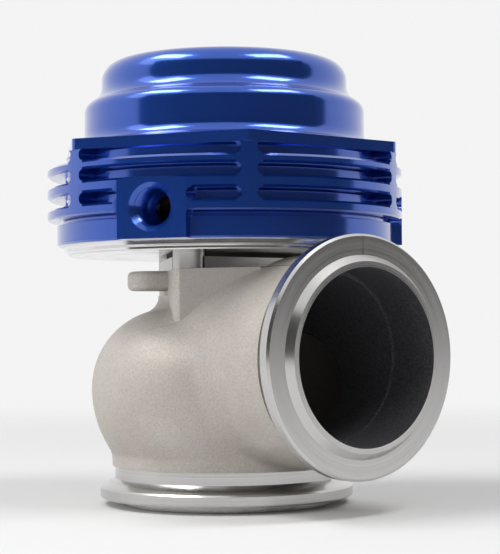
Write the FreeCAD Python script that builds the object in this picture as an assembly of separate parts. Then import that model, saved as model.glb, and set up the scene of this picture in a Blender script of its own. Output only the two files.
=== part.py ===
import FreeCAD, Part

import math
import os

# Turbo wastegate.  Millimetres.  Origin: centre of the inlet, on the lowest
# face of the valve seat.  +Z runs up the valve stem, +X out of the outlet.

Vec = FreeCAD.Vector
UP = Vec(0, 0, 1)
OUT = Vec(1, 0, 0)
BASE = Vec(0, 0, 0)

# ---------------------------------------------------------------- clearances
run_gap = 0.04          # radial gap of the stem in its bushes
free_gap = 0.3          # gap between parts that move past each other
hole_gap = 0.15         # radial gap of a screw in a clearance hole

# --------------------------------------------------------------- screw sizes
cap_screw_r = 1.5       # M3 socket screws
cap_head_r = 2.75
cap_head_h = 3.0
neck_screw_r = 2.0      # M4 countersunk screws
neck_head_r = 3.8
neck_head_h = neck_head_r - neck_screw_r
nut_thread_r = 3.0      # M6 nut on the stem
nut_flats = 10.0
nut_h = 5.0

# ------------------------------------------------------------ layout by angle
screw_angles = (-60, 60, 180)                   # neck screws
pillar_angles = (-150, -90, -30, 30, 90, 150)   # housing pillars
port_angles = (-60, 60)                         # lower and upper chamber port
lug_angles = (-120, 120)

# ------------------------------------------------------------ valve and seat
throat_r = 17.2
seat_lip_r = 24.2
seat_lip_h = 1.5
seat_recess_h = 0.8     # the lip is let into the body this far
seat_undercut = 0.8     # the root of the lip is this much smaller in radius
seat_ring_r = 21.6
seat_top = 7.5
seat_cone_z = 5.0
valve_r = 19.0
valve_rim_h = 1.3
stem_r = 4.0
tulip_top = 20.0

# --------------------------------------------------------------- inlet flange
rim_r = 29.3
rim_h = 2.8
inlet_neck_r = 25.9
flange_cone_h = 1.75    # both flanges: back cone of the clamp groove
neck_cut_top = 8.8

# -------------------------------------------------------------- outlet flange
outlet_z = 34.0
outlet_bore_r = 19.0
outlet_rim_r = 26.1
outlet_tube_r = 22.4    # turned behind the rim
outlet_cast_r = 23.1    # cast duct at the same place
turned_x = 41.2         # the turned part starts here
outlet_face = 48.0
outlet_lip_w = 1.45
outlet_lip_r = 20.25
outlet_lip_root_r = 21.6
outlet_bore_x = 37.0    # the straight bore starts here
outlet_core_r = 18.3    # cast passage where it meets the bore

# ---------------------------------------------------------------- cast bulb
bulb_start_z = 11.8
belly_r = 31.2
belly_z = 26.8
belly_low_r = 26.0      # arc under the belly
belly_high_r = 18.2     # arc over the belly
crown_r = 15.7          # where the bulb turns up into the neck
crown_z = 47.4
wall = 3.6
elbow_r = 23.4
elbow_z = 31.0
elbow_bore_r = 17.6
duct_run_back = 9.0     # the duct starts this far behind the stem axis
duct_tuck = 1.2         # its trimmed sides end this far inside the neck
guide_boss_r = 9.5
guide_boss_z = 35.0

# ---------------------------------------------------------------------- neck
neck_top = 53.6
neck_bottom = 37.0
screw_pcr = 20.9        # radius of the circle of neck screws
corner_r = 3.2          # rounded corner of the cast neck
neck_side = 14.0        # stem axis to a side of the neck
neck_front = 28.0       # the milled top of the neck ends here
lug_tip = 22.9
lug_h = 4.5
lug_bottom = neck_top - lug_h
lug_round = 1.3
lug_w = 11.0
neck_thread_z = neck_top - 9.0
guide_r = 6.5
guide_seal_h = 1.6
guide_seal_r = 6.0

# --------------------------------------------- plates between neck and housing
insulator_h = 2.7
gasket_h = 0.9
gasket_inset = 1.6
insulator_z = neck_top
gasket_z = insulator_z + insulator_h
base_z = gasket_z + gasket_h
standoff_r = 3.6

base_r = 37.5
base_step_w = 0.8       # the plate's lower edge is this much smaller in radius
base_low_r = base_r - base_step_w
base_rim_h = 0.7
base_h = 2.2
base_seal_wire = 0.9
base_seal_r = 30.0

# ------------------------------------------------------------- lower housing
housing_z = base_z + base_h
housing_h = 20.2
split_z = housing_z + housing_h
fin_r = 41.3
low_fin_r = 39.1
fin_root_r = 36.6
low_root_r = 37.8
low_groove = (housing_z + 4.6, housing_z + 5.8)
low_step_h = 0.35       # height of the cone from the low fin out to the others
mid_grooves = ((housing_z + 8.1, housing_z + 10.55), (housing_z + 13.2, housing_z + 15.7))
top_groove_z = housing_z + 17.7
pillar_half = 1.6
fin_round = 0.75
chamber_r = 30.3
chamber_floor = housing_z + 2.6
pad_face = 40.5
pad_half = 8.05
pad_top = mid_grooves[1][0]
port_z = housing_z + 6.7
port_mouth_r = 5.25
port_tap_r = 4.35
port_tap_depth = 7.4
port_lead_h = 0.9       # countersink at the mouth of each port
port_cone_h = 1.2       # cone left by the drill
port_drill_r = 2.9
bush_r = 6.5
bush_boss_r = 10.0
bush_boss_top = chamber_floor + 2.2
stem_seal_wire = 1.0
stem_seal_z = housing_z + 1.2
cap_screw_pcr = 34.6
air_hole_r = 0.9
air_hole_pcr = 34.3

# ----------------------------------------------------------------------- cap
flange_h = 2.4
flange_corner_r = 41.7  # six corners, one over each pillar
flange_round = 1.6
step_r = 32.7
step_h = 13.5           # from the bottom of the flange
step_top = split_z + step_h
crown_cap_r = 28.7
crown_h = 9.2           # from the lower step up
cap_top = step_top + crown_h
crown_round = 4.4       # rounded upper edge of the crown
root_round = 1.1        # hollow at the foot of both steps
step_flat = 0.1         # level ring left between round and hollow
step_round = step_r - crown_cap_r - root_round - step_flat
cap_wall = 2.4
cap_roof = 2.6
cap_thread_h = flange_h - 0.6

# ---------------------------------------------------------------- diaphragm
dia_t = 0.9
dia_bead_r = 32.3
dia_bead_h = 1.6
dia_bead_w = 1.7
loop_top = split_z + 2.3

# --------------------------------------------------------- piston and springs
shoulder_z = bush_boss_top + 1.3    # the parts on the stem rest here
piston_r = 27.0
piston_t = 1.6
piston_top = split_z - 0.9
support_r = 24.3
support_h = 0.9
seat_disc_h = 0.9
seat_disc_r = 25.0
washer_r = 6.2
washer_h = 1.2
thread_end = shoulder_z + 12.6

spring_mean = (21.4, 16.2, 11.0)
spring_wire = (1.5, 1.25, 1.05)     # radius of each wire
spring_turns = (3.75, 4.25, 4.75)


# ===================================================================== tools
def at(angle, radius, z=0.0):
    """Point at an angle in degrees and a radius, at height z."""
    a = math.radians(angle)
    return Vec(radius * math.cos(a), radius * math.sin(a), z)


def turned(shape, angle):
    """Copy of a shape turned about the stem axis."""
    copy = shape.copy()
    copy.rotate(BASE, UP, angle)
    return copy


def cyl(r, z0, z1, centre=BASE):
    """Upright cylinder from z0 to z1."""
    return Part.makeCylinder(r, z1 - z0, Vec(centre.x, centre.y, z0), UP)


def ring(r_out, r_in, z0, z1, centre=BASE):
    """Upright ring from z0 to z1."""
    return cyl(r_out, z0, z1, centre).cut(cyl(r_in, z0 - 1, z1 + 1, centre))


def rod(r, x0, x1, z):
    """Level cylinder along the outlet from x0 to x1 at height z."""
    return Part.makeCylinder(r, x1 - x0, Vec(x0, 0, z), OUT)


def revolve(points):
    """Solid of revolution about Z from (radius, z) points."""
    wire = Part.makePolygon([Vec(r, 0, z) for r, z in points + points[:1]])
    return Part.Face(wire).revolve(BASE, UP, 360)


def revolve_edges(edges):
    """Solid of revolution about Z from a closed run of edges in XZ."""
    wire = Part.Wire(Part.__sortEdges__(edges))
    return Part.Face(wire).revolve(BASE, UP, 360)


def line(a, b):
    """Straight edge between two (radius, z) points."""
    return Part.makeLine(Vec(a[0], 0, a[1]), Vec(b[0], 0, b[1]))


def arc(a, mid, b):
    """Arc edge through three (radius, z) points."""
    spots = [Vec(p[0], 0, p[1]) for p in (a, mid, b)]
    return Part.Arc(*spots).toShape()


def union(shapes):
    """One solid from shapes that overlap."""
    return shapes[0].multiFuse(shapes[1:]).removeSplitter()


def group(shapes):
    """Several separate solids kept in one node."""
    return Part.makeCompound(shapes)


def edges_at(shape, z, radius=None, near=0.05):
    """Closed circular edges at height z, and of a radius if one is given."""
    found = []
    for edge in shape.Edges:
        box = edge.BoundBox
        if abs(box.ZMin - z) > near or abs(box.ZMax - z) > near:
            continue
        if not isinstance(edge.Curve, Part.Circle):
            continue
        if radius is not None and abs(edge.Curve.Radius - radius) > near:
            continue
        found.append(edge)
    return found


# ================================================================ valve body
def belly_low(z):
    """Radius of the arc under the belly at height z."""
    drop = belly_z - z
    return belly_r - belly_low_r + math.sqrt(belly_low_r ** 2 - drop ** 2)


def belly_high(z):
    """Radius of the arc over the belly at height z."""
    rise = z - belly_z
    return belly_r - belly_high_r + math.sqrt(belly_high_r ** 2 - rise ** 2)


def bulb(inset, bottom):
    """Bulb of revolution, inset from the outer skin, closed top and bottom."""
    turn_z = crown_z - 3.4
    top = crown_z - inset + 0.5
    low = (belly_low(bulb_start_z) - inset, bulb_start_z)
    low_mid = (belly_low(19.0) - inset, 19.0)
    belly = (belly_r - inset, belly_z)
    high_mid = (belly_high(36.0) - inset, 36.0 - inset * 0.5)
    high = (belly_high(turn_z) - inset, turn_z - inset)
    bend = (crown_r - inset + 0.5, crown_z - inset - 1.4)
    crown = (crown_r - inset, crown_z - inset)
    edges = [
        line((0, bottom), (low[0], bottom)),
        line((low[0], bottom), low),
        arc(low, low_mid, belly),
        arc(belly, high_mid, high),
        arc(high, bend, crown),
        line(crown, (crown[0], top)),
        line((crown[0], top), (0, top)),
        line((0, top), (0, bottom)),
    ]
    return revolve_edges(edges)


def duct(r_start, r_end, x_end, run_back=0.0):
    """Rising duct from the stem axis, or from behind it, to the outlet."""
    centre = Vec(0, 0, elbow_z)
    way = Vec(x_end, 0, outlet_z).sub(centre)
    way.normalize()
    start = centre.sub(Vec(way).multiply(run_back))
    length = Vec(x_end, 0, outlet_z).sub(start).Length
    return Part.makeCone(r_start, r_end, length, start, way)


def duct_skin():
    """Outside of the duct, trimmed to the sides of the neck."""
    trimmed = duct(elbow_r, outlet_cast_r, outlet_face - rim_h, duct_run_back)
    for angle in lug_angles:
        side = Part.makeBox(60, 120, 120, Vec(neck_side - duct_tuck, -60, -10))
        trimmed = trimmed.cut(turned(side, angle))
    return trimmed


def neck_section():
    """Outline of the cast neck: three rounded corners and two outer flats."""
    reach = screw_pcr + corner_r
    block = Part.makeBox(80, 80, 1, Vec(-40, -40, 0))
    for angle in screw_angles:
        cut = Part.makeBox(40, 120, 3, Vec(reach, -60, -1))
        block = block.cut(turned(cut, angle))
    for angle in lug_angles:
        cut = Part.makeBox(60, 120, 3, Vec(neck_side, -60, -1))
        block = block.cut(turned(cut, angle))
    front = Part.makeBox(60, 120, 3, Vec(neck_front, -60, -1))
    return block.cut(front)


def neck_block():
    """Upright cast neck that carries the actuator."""
    section = neck_section()
    face = [f for f in section.Faces if f.normalAt(0, 0).z < -0.9][0]
    block = face.extrude(Vec(0, 0, neck_top - neck_bottom))
    block.translate(Vec(0, 0, neck_bottom))
    uprights = []
    for edge in block.Edges:
        box = edge.BoundBox
        tall = box.ZLength > neck_top - neck_bottom - 0.1
        if tall and box.XMin < screw_pcr * 0.8:
            uprights.append(edge)
    return block.makeFillet(corner_r, uprights)


def lug():
    """Cast lug under the top face of the neck."""
    length = lug_tip - lug_w / 2
    bar = Part.makeBox(length, lug_w, lug_h, Vec(0, -lug_w / 2, lug_bottom))
    tip = cyl(lug_w / 2, lug_bottom, lug_bottom + lug_h, Vec(length, 0, 0))
    arm = union([bar, tip])
    low_edges = []
    for edge in arm.Edges:
        box = edge.BoundBox
        if box.ZLength < 0.01 and box.XMax > 6:
            low_edges.append(edge)
    return arm.makeFillet(lug_round, low_edges)


def inlet_flange():
    """Rim, cone and machined neck of the inlet."""
    rim_top = seat_lip_h + rim_h
    cone_top = rim_top + flange_cone_h
    return revolve([
        (0, seat_lip_h),
        (rim_r - 0.4, seat_lip_h),
        (rim_r, seat_lip_h + 0.4),
        (rim_r, rim_top - 0.4),
        (rim_r - 0.3, rim_top),
        (inlet_neck_r, cone_top),
        (inlet_neck_r, neck_cut_top),
        (0, neck_cut_top),
    ])


def about_outlet(shape):
    """Shape made round Z, laid along the outlet axis."""
    shape.rotate(BASE, Vec(0, 1, 0), 90)
    shape.translate(Vec(0, 0, outlet_z))
    return shape


def outlet_turning():
    """Metal turned away behind the outlet rim, for the clamp."""
    return about_outlet(ring(2 * outlet_rim_r, outlet_tube_r, turned_x, 2 * outlet_face))


def outlet_flange():
    """Rim, back cone and raised lip of the outlet."""
    x0 = outlet_face - rim_h
    return about_outlet(revolve([
        (0, turned_x - 2),
        (outlet_tube_r, turned_x - 2),
        (outlet_tube_r, x0 - flange_cone_h),
        (outlet_rim_r - 0.3, x0),
        (outlet_rim_r, x0 + 0.3),
        (outlet_rim_r, outlet_face - 0.5),
        (outlet_rim_r - 0.5, outlet_face),
        (outlet_lip_root_r, outlet_face),
        (outlet_lip_r, outlet_face + outlet_lip_w),
        (0, outlet_face + outlet_lip_w),
    ]))


def body_skin():
    """Cast body before it is hollowed."""
    cast = union([turned(bulb(0, neck_cut_top), 180), duct_skin(), neck_block()])
    cast = cast.cut(outlet_turning())
    milled = Part.makeBox(2 * neck_front, 4 * neck_front, 10, Vec(-neck_front, -2 * neck_front, neck_top))
    cast = cast.cut(milled)
    lugs = [turned(lug(), angle) for angle in lug_angles]
    return union([cast, inlet_flange(), outlet_flange()] + lugs)


def body_passage():
    """Gas passage from the seat, round the guide boss, to the outlet."""
    turn = Part.makeSphere(elbow_bore_r, Vec(0, 0, elbow_z))
    core = duct(elbow_bore_r, outlet_core_r, outlet_bore_x + 3)
    boss = cyl(guide_boss_r, guide_boss_z, neck_top)
    return bulb(wall, seat_top).fuse(turn).fuse(core).cut(boss)


def valve_body():
    """Cast body with both flanges, neck, lugs and screw bosses."""
    body = body_skin().cut(body_passage())
    body = body.cut(rod(outlet_bore_r, outlet_bore_x, outlet_face + 6, outlet_z))
    body = body.cut(cyl(seat_ring_r, 0, seat_top))
    body = body.cut(cyl(seat_lip_r + hole_gap, 0, seat_lip_h + seat_recess_h))
    body = body.cut(cyl(guide_r, guide_boss_z - 1, neck_top + 1))
    for angle in screw_angles:
        spot = at(angle, screw_pcr)
        body = body.cut(cyl(neck_screw_r, neck_thread_z, neck_top + 1, spot))
    return body


# ============================================================ valve and guides
def valve_seat():
    """Hardened seat ring whose lip is the lowest face of the part."""
    lip = cyl(seat_lip_r, 0, seat_lip_h)
    root = cyl(seat_lip_r - seat_undercut, 0, seat_lip_h + seat_recess_h)
    blank = union([lip, root, cyl(seat_ring_r, 0, seat_top)])
    cone_r = throat_r + seat_top - seat_cone_z
    throat = revolve([
        (0, -1),
        (throat_r + 1.2, -1),
        (throat_r + 1.2, 0),
        (throat_r, 1.2),
        (throat_r, seat_cone_z),
        (cone_r, seat_top),
        (0, seat_top),
    ])
    return blank.cut(throat)


def valve():
    """Poppet valve with its stem, shoulder and threaded end."""
    face_z = seat_cone_z + free_gap + valve_r - throat_r
    rim_top = face_z + valve_rim_h
    low_r = throat_r - 0.4
    low_z = face_z - (valve_r - low_r)
    neck = (stem_r, tulip_top)
    edges = [
        line((0, low_z + 1.2), (throat_r - 4, low_z + 1.2)),
        line((throat_r - 4, low_z + 1.2), (throat_r - 5 + 1.2, low_z)),
        line((throat_r - 5 + 1.2, low_z), (low_r, low_z)),
        line((low_r, low_z), (valve_r, face_z)),
        line((valve_r, face_z), (valve_r, rim_top)),
        arc((valve_r, rim_top), (stem_r + 4.4, rim_top + 4.6), neck),
        line(neck, (stem_r, shoulder_z)),
        line((stem_r, shoulder_z), (nut_thread_r, shoulder_z)),
        line((nut_thread_r, shoulder_z), (nut_thread_r, thread_end - 0.6)),
        line((nut_thread_r, thread_end - 0.6), (nut_thread_r - 0.6, thread_end)),
        line((nut_thread_r - 0.6, thread_end), (0, thread_end)),
        line((0, thread_end), (0, low_z + 1.2)),
    ]
    return revolve_edges(edges)


def valve_guide():
    """Stem guide pressed into the cast boss."""
    bush = ring(guide_r, stem_r + run_gap, guide_boss_z - 2.5, neck_top)
    pocket = cyl(guide_seal_r, neck_top - guide_seal_h, neck_top + 1)
    return bush.cut(pocket)


def guide_seal():
    """Wiper ring in the top of the guide."""
    bore = stem_r + run_gap
    return ring(guide_seal_r, bore, neck_top - guide_seal_h, neck_top)


# =================================================== plates under the actuator
def neck_plate(side, z0, z1):
    """Three-sided plate with its corners notched round the standoffs."""
    plate = cyl(2.4 * side, z0, z1)
    for angle in screw_angles:
        cut = Part.makeBox(60, 120, z1 - z0 + 2, Vec(side, -60, z0 - 1))
        plate = plate.cut(turned(cut, angle + 180))
    notch_r = standoff_r + free_gap
    for angle in screw_angles:
        notch = cyl(notch_r, z0 - 1, z1 + 1, at(angle, screw_pcr))
        slot = Part.makeBox(30, 2 * notch_r, z1 - z0 + 2, Vec(screw_pcr, -notch_r, z0 - 1))
        plate = plate.cut(notch).cut(turned(slot, angle))
    return plate.cut(cyl(stem_r + 1.0, z0 - 1, z1 + 1))


def standoff(angle):
    """Spacer tube round one neck screw."""
    return ring(standoff_r, neck_screw_r + hole_gap, neck_top, base_z, at(angle, screw_pcr))


def base_plate():
    """Bare turned plate that closes the foot of the housing."""
    low_chamfer = 0.25
    plate = revolve([
        (0, base_z),
        (base_low_r - low_chamfer, base_z),
        (base_low_r, base_z + low_chamfer),
        (base_low_r, base_z + base_rim_h),
        (base_r, base_z + base_rim_h + 0.5),
        (base_r, housing_z),
        (0, housing_z),
    ])
    plate = plate.cut(cyl(bush_r, base_z - 1, housing_z + 1))
    groove_h = base_seal_wire * 0.8
    groove = ring(base_seal_r + base_seal_wire, base_seal_r - base_seal_wire,
                  housing_z - groove_h, housing_z + 1)
    plate = plate.cut(groove)
    for angle in screw_angles:
        hole = cyl(neck_screw_r + hole_gap, base_z - 1, housing_z + 1, at(angle, screw_pcr))
        plate = plate.cut(hole)
    return plate


def base_seal():
    """Flat sealing ring in the groove of the base plate."""
    half = base_seal_wire
    return ring(base_seal_r + half, base_seal_r - half,
                housing_z - base_seal_wire * 0.8, housing_z)


def neck_screw(angle):
    """Countersunk screw from the housing floor into the neck."""
    shank = cyl(neck_screw_r, neck_thread_z, chamber_floor - neck_head_h)
    head = Part.makeCone(neck_screw_r, neck_head_r, neck_head_h, Vec(0, 0, chamber_floor - neck_head_h), UP)
    drive = Part.makeCylinder(1.25, 1.4, Vec(0, 0, chamber_floor - 1.2), UP)
    screw = union([shank, head]).cut(drive)
    screw.translate(at(angle, screw_pcr))
    return screw


# ============================================================ lower housing
def groove_cut(z0, z1, root):
    """Ring of removed metal for a groove with rounded fin edges."""
    edge = min(fin_round, (z1 - z0) * 0.4)
    return revolve([
        (root, z0 + 0.35),
        (root + 0.35, z0),
        (fin_r - edge, z0),
        (fin_r, z0 - edge * 0.7),
        (fin_r + 4, z0 - edge * 0.7),
        (fin_r + 4, z1 + edge * 0.7),
        (fin_r, z1 + edge * 0.7),
        (fin_r - edge, z1),
        (root + 0.35, z1),
        (root, z1 - 0.35),
    ])


def bridge(angle, half, z0, z1):
    """Metal left across a groove at one angle, with round groove ends."""
    end_r = (z1 - z0) / 2
    wide = half + end_r
    block = Part.makeBox(30, 2 * wide, z1 - z0 + 4, Vec(20, -wide, z0 - 2))
    for side in (-wide, wide):
        spot = Vec(19, side, z0 + end_r)
        block = block.cut(Part.makeCylinder(end_r, 32, spot, OUT))
    return turned(block, angle)


def fin_grooves():
    """Everything milled away between the fins."""
    cuts = []
    low = groove_cut(*low_groove, low_root_r)
    for angle in port_angles:
        low = low.cut(bridge(angle, pad_half, *low_groove))
    cuts.append(low)
    for z0, z1 in mid_grooves + ((top_groove_z, split_z),):
        cut = groove_cut(z0, z1, fin_root_r)
        for angle in pillar_angles:
            cut = cut.cut(bridge(angle, pillar_half, z0, z1))
        if z1 < pad_top:
            for angle in port_angles:
                cut = cut.cut(bridge(angle, pad_half, z0, z1))
        cuts.append(cut)
    return cuts


def port_hole(angle):
    """Tapped port drilled radially into the housing."""
    profile = [
        (0, -1),
        (port_mouth_r + 1, -1),
        (port_mouth_r, 0),
        (port_tap_r, port_lead_h),
        (port_tap_r, port_tap_depth),
        (port_drill_r, port_tap_depth + port_cone_h),
        (0, port_tap_depth + port_cone_h),
    ]
    hole = revolve(profile)
    hole.rotate(BASE, Vec(0, 1, 0), -90)
    hole.translate(Vec(pad_face, 0, port_z))
    return turned(hole, angle)


def lower_housing():
    """Finned housing with the lower chamber, two ports and an air passage."""
    body = revolve([
        (0, housing_z),
        (low_fin_r - 0.4, housing_z),
        (low_fin_r, housing_z + 0.4),
        (low_fin_r, low_groove[0]),
        (fin_r, low_groove[0] + low_step_h),
        (fin_r, split_z),
        (0, split_z),
    ])
    for angle in port_angles:
        pad = Part.makeBox(20, 2 * pad_half, pad_top - housing_z, Vec(25, -pad_half, housing_z))
        body = body.fuse(turned(pad, angle))
    body = body.common(cyl(fin_r + 0.001, housing_z, split_z))
    for cut in fin_grooves():
        body = body.cut(cut)
    for angle in port_angles:
        facet = Part.makeBox(10, 40, pad_top + 1 - housing_z, Vec(pad_face, -20, housing_z - 1))
        body = body.cut(turned(facet, angle))
    body = body.cut(cyl(chamber_r, chamber_floor, split_z + 1))
    body = body.fuse(cyl(bush_boss_r, housing_z, bush_boss_top))
    body = body.cut(cyl(bush_r, housing_z - 1, bush_boss_top + 1))
    bead = ring(dia_bead_r, chamber_r - 0.1, split_z - dia_bead_h, split_z + 1)
    body = body.cut(bead)
    for angle in port_angles:
        body = body.cut(port_hole(angle))
    low_drill = Part.makeCylinder(port_drill_r, 14, Vec(chamber_r - 6, 0, port_z), OUT)
    body = body.cut(turned(low_drill, port_angles[0]))
    body = body.cut(cyl(air_hole_r, port_z, split_z + 1, at(port_angles[1], air_hole_pcr)))
    for angle in screw_angles:
        spot = at(angle, screw_pcr)
        body = body.cut(cyl(neck_screw_r + hole_gap, housing_z - 1, chamber_floor + 1, spot))
        sink = Part.makeCone(neck_screw_r, neck_head_r, neck_head_h,
                             Vec(spot.x, spot.y, chamber_floor - neck_head_h), UP)
        body = body.cut(sink)
    for angle in pillar_angles:
        spot = at(angle, cap_screw_pcr)
        body = body.cut(cyl(cap_screw_r + hole_gap, housing_z - 1, split_z + 1, spot))
        body = body.cut(cyl(cap_head_r + hole_gap, housing_z - 1, housing_z + cap_head_h, spot))
    return body


def stem_bush():
    """Stem bush pressed into the housing floor."""
    bush = ring(bush_r, stem_r + run_gap, base_z, bush_boss_top)
    seat = ring(stem_r + 2 * stem_seal_wire, stem_r, stem_seal_z - stem_seal_wire,
                stem_seal_z + stem_seal_wire)
    return bush.cut(seat)


def stem_seal():
    """Sealing ring round the stem, inside the bush."""
    return ring(stem_r + 2 * stem_seal_wire, stem_r + run_gap,
                stem_seal_z - stem_seal_wire, stem_seal_z + stem_seal_wire)


def cap_screw(angle):
    """Socket screw that holds the cap down from below."""
    head = cyl(cap_head_r, housing_z, housing_z + cap_head_h)
    shank = cyl(cap_screw_r, housing_z, split_z + cap_thread_h)
    drive = cyl(1.3, housing_z - 1, housing_z + 1.6)
    screw = union([head, shank]).cut(drive)
    screw.translate(at(angle, cap_screw_pcr))
    return screw


# ================================================================== top cap
def hexagon_flange():
    """Six-cornered flange plate with rounded corners."""
    corner = flange_corner_r + 0.15 * flange_round
    spots = [at(angle, corner, split_z) for angle in pillar_angles]
    plate = Part.Face(Part.makePolygon(spots + spots[:1])).extrude(Vec(0, 0, flange_h))
    uprights = [e for e in plate.Edges if e.BoundBox.ZLength > flange_h - 0.1]
    return plate.makeFillet(flange_round, uprights)


def top_cap():
    """Two-step cap on a six-cornered flange."""
    flange_top = split_z + flange_h
    flange_inner = step_r + root_round + 0.5
    blank = revolve([
        (0, split_z),
        (flange_inner, split_z),
        (flange_inner, flange_top),
        (step_r, flange_top),
        (step_r, step_top),
        (crown_cap_r, step_top),
        (crown_cap_r, cap_top),
        (0, cap_top),
    ])
    blank = blank.makeFillet(crown_round, edges_at(blank, cap_top))
    blank = blank.makeFillet(step_round, edges_at(blank, step_top, step_r))
    roots = edges_at(blank, flange_top, step_r) + edges_at(blank, step_top, crown_cap_r)
    blank = blank.makeFillet(root_round, roots)
    blank = blank.fuse(hexagon_flange())
    lower_r = step_r - cap_wall
    upper_r = crown_cap_r - cap_wall
    hollow = revolve([
        (0, split_z - 1),
        (lower_r, split_z - 1),
        (lower_r, step_top - cap_wall - 1.6),
        (lower_r - 1.6, step_top - cap_wall),
        (upper_r, step_top - cap_wall),
        (upper_r, cap_top - cap_roof - 1.5),
        (upper_r - 1.5, cap_top - cap_roof),
        (0, cap_top - cap_roof),
    ])
    cap = blank.removeSplitter().cut(hollow)
    for angle in pillar_angles:
        spot = at(angle, cap_screw_pcr)
        cap = cap.cut(cyl(cap_screw_r, split_z - 1, split_z + cap_thread_h, spot))
    start = at(port_angles[1], air_hole_pcr, split_z)
    finish = at(port_angles[1], lower_r - 1.5, split_z + 1.9)
    way = finish.sub(start)
    passage = Part.makeCylinder(air_hole_r * 0.8, way.Length, start, way)
    return cap.cut(passage)


# ================================================================ diaphragm
def diaphragm():
    """Moulded diaphragm: bead, rolled loop, side wall and floor."""
    floor = shoulder_z + support_h
    wall_in = piston_r + 0.05
    wall_out = wall_in + dia_t
    edge_in = chamber_r - 0.9
    loop_mid = (wall_out + edge_in) / 2
    loop_in = loop_top - dia_t
    half_w = (edge_in - wall_out) / 2
    return revolve([
        (nut_thread_r, floor),
        (wall_out - 1.2, floor),
        (wall_out, floor + 1.2),
        (wall_out, loop_in - half_w),
        (loop_mid, loop_in),
        (edge_in, split_z - dia_t),
        (dia_bead_r - dia_bead_w, split_z - dia_t),
        (dia_bead_r - dia_bead_w, split_z - dia_bead_h),
        (dia_bead_r, split_z - dia_bead_h),
        (dia_bead_r, split_z),
        (edge_in + 0.25, split_z),
        (loop_mid + 0.7, loop_top),
        (loop_mid - 0.7, loop_top),
        (wall_in, loop_top - 1.6),
        (wall_in, floor + dia_t + 1.0),
        (wall_in - 1.0, floor + dia_t),
        (nut_thread_r, floor + dia_t),
    ])


def support_washer():
    """Plate that backs the diaphragm from below."""
    return ring(support_r, nut_thread_r, shoulder_z, shoulder_z + support_h)


def piston_cup():
    """Cup that carries the springs inside the diaphragm."""
    floor = shoulder_z + support_h + dia_t
    cup = revolve([
        (nut_thread_r, floor),
        (piston_r - 1.2, floor),
        (piston_r, floor + 1.2),
        (piston_r, piston_top),
        (piston_r - piston_t, piston_top),
        (piston_r - piston_t, floor + piston_t + 0.4),
        (piston_r - piston_t - 0.4, floor + piston_t),
        (nut_thread_r, floor + piston_t),
    ])
    return cup


def spring_seat():
    """Disc with two raised rings that keep the springs apart."""
    z0 = shoulder_z + support_h + dia_t + piston_t
    disc = ring(seat_disc_r, nut_thread_r, z0, z0 + seat_disc_h)
    for mean, wire in zip(spring_mean[1:], spring_wire[1:]):
        inner = mean + wire + 0.35
        disc = disc.fuse(ring(inner + 1.2, inner, z0, z0 + seat_disc_h + 1.4))
    return disc.removeSplitter()


def spring_floor():
    """Height of the face that the springs stand on."""
    return shoulder_z + support_h + dia_t + piston_t + seat_disc_h


def stem_washer():
    """Washer under the stem nut."""
    return ring(washer_r, nut_thread_r, spring_floor(), spring_floor() + washer_h)


def stem_nut():
    """Hexagon nut on the stem."""
    z0 = spring_floor() + washer_h
    corner = nut_flats / math.sqrt(3)
    spots = [at(60 * i, corner, z0) for i in range(7)]
    prism = Part.Face(Part.makePolygon(spots)).extrude(Vec(0, 0, nut_h))
    dome = Part.makeCone(corner + 1.4, corner - 0.5, nut_h + 0.01, Vec(0, 0, z0), UP)
    dome = dome.fuse(cyl(corner - 0.2, z0, z0 + nut_h))
    return prism.common(dome).cut(cyl(nut_thread_r, z0 - 1, z0 + nut_h + 1))


def spring(mean, wire, turns):
    """Compression spring with ground ends."""
    low = spring_floor()
    high = cap_top - cap_roof
    pitch = (high - low) / turns
    helix = Part.makeHelix(pitch, high - low, mean)
    section = Part.Wire(Part.makeCircle(wire, Vec(mean, 0, 0), Vec(0, 1, 0)))
    coil = Part.Wire(helix.Edges).makePipeShell([section], True, True)
    coil.translate(Vec(0, 0, low))
    between = cyl(mean + 3, low, high)
    return coil.common(between)


# ================================================================ writing out
def parts():
    """Every node by name."""
    found = {
        "valve_body": valve_body(),
        "valve_seat": valve_seat(),
        "valve": valve(),
        "valve_guide": valve_guide(),
        "guide_seal": guide_seal(),
        "insulator_plate": neck_plate(neck_side, insulator_z, gasket_z),
        "neck_gasket": neck_plate(neck_side - gasket_inset, gasket_z, base_z),
        "standoffs": group([standoff(a) for a in screw_angles]),
        "base_plate": base_plate(),
        "base_seal": base_seal(),
        "neck_screws": group([neck_screw(a) for a in screw_angles]),
        "lower_housing": lower_housing(),
        "stem_bush": stem_bush(),
        "stem_seal": stem_seal(),
        "cap_screws": group([cap_screw(a) for a in pillar_angles]),
        "top_cap": top_cap(),
        "diaphragm": diaphragm(),
        "support_washer": support_washer(),
        "piston_cup": piston_cup(),
        "spring_seat": spring_seat(),
        "stem_washer": stem_washer(),
        "stem_nut": stem_nut(),
    }
    names = ("outer_spring", "middle_spring", "inner_spring")
    for name, mean, wire, turns in zip(names, spring_mean, spring_wire, spring_turns):
        found[name] = spring(mean, wire, turns)
    return found


os.makedirs("parts", exist_ok=True)
for name, shape in parts().items():
    shape.exportStep("parts/" + name + ".step")
    print(name, shape.isValid(), len(shape.Solids), round(shape.Volume, 1))
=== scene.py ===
import logging
import math
from dataclasses import dataclass
from enum import Enum

import bmesh
import bpy
from bmesh.types import BMEdge, BMesh, BMVert
from bpy.types import Material, Mesh, Node, NodeSocket, NodeTree, Object
from mathutils import Matrix, Vector


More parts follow.
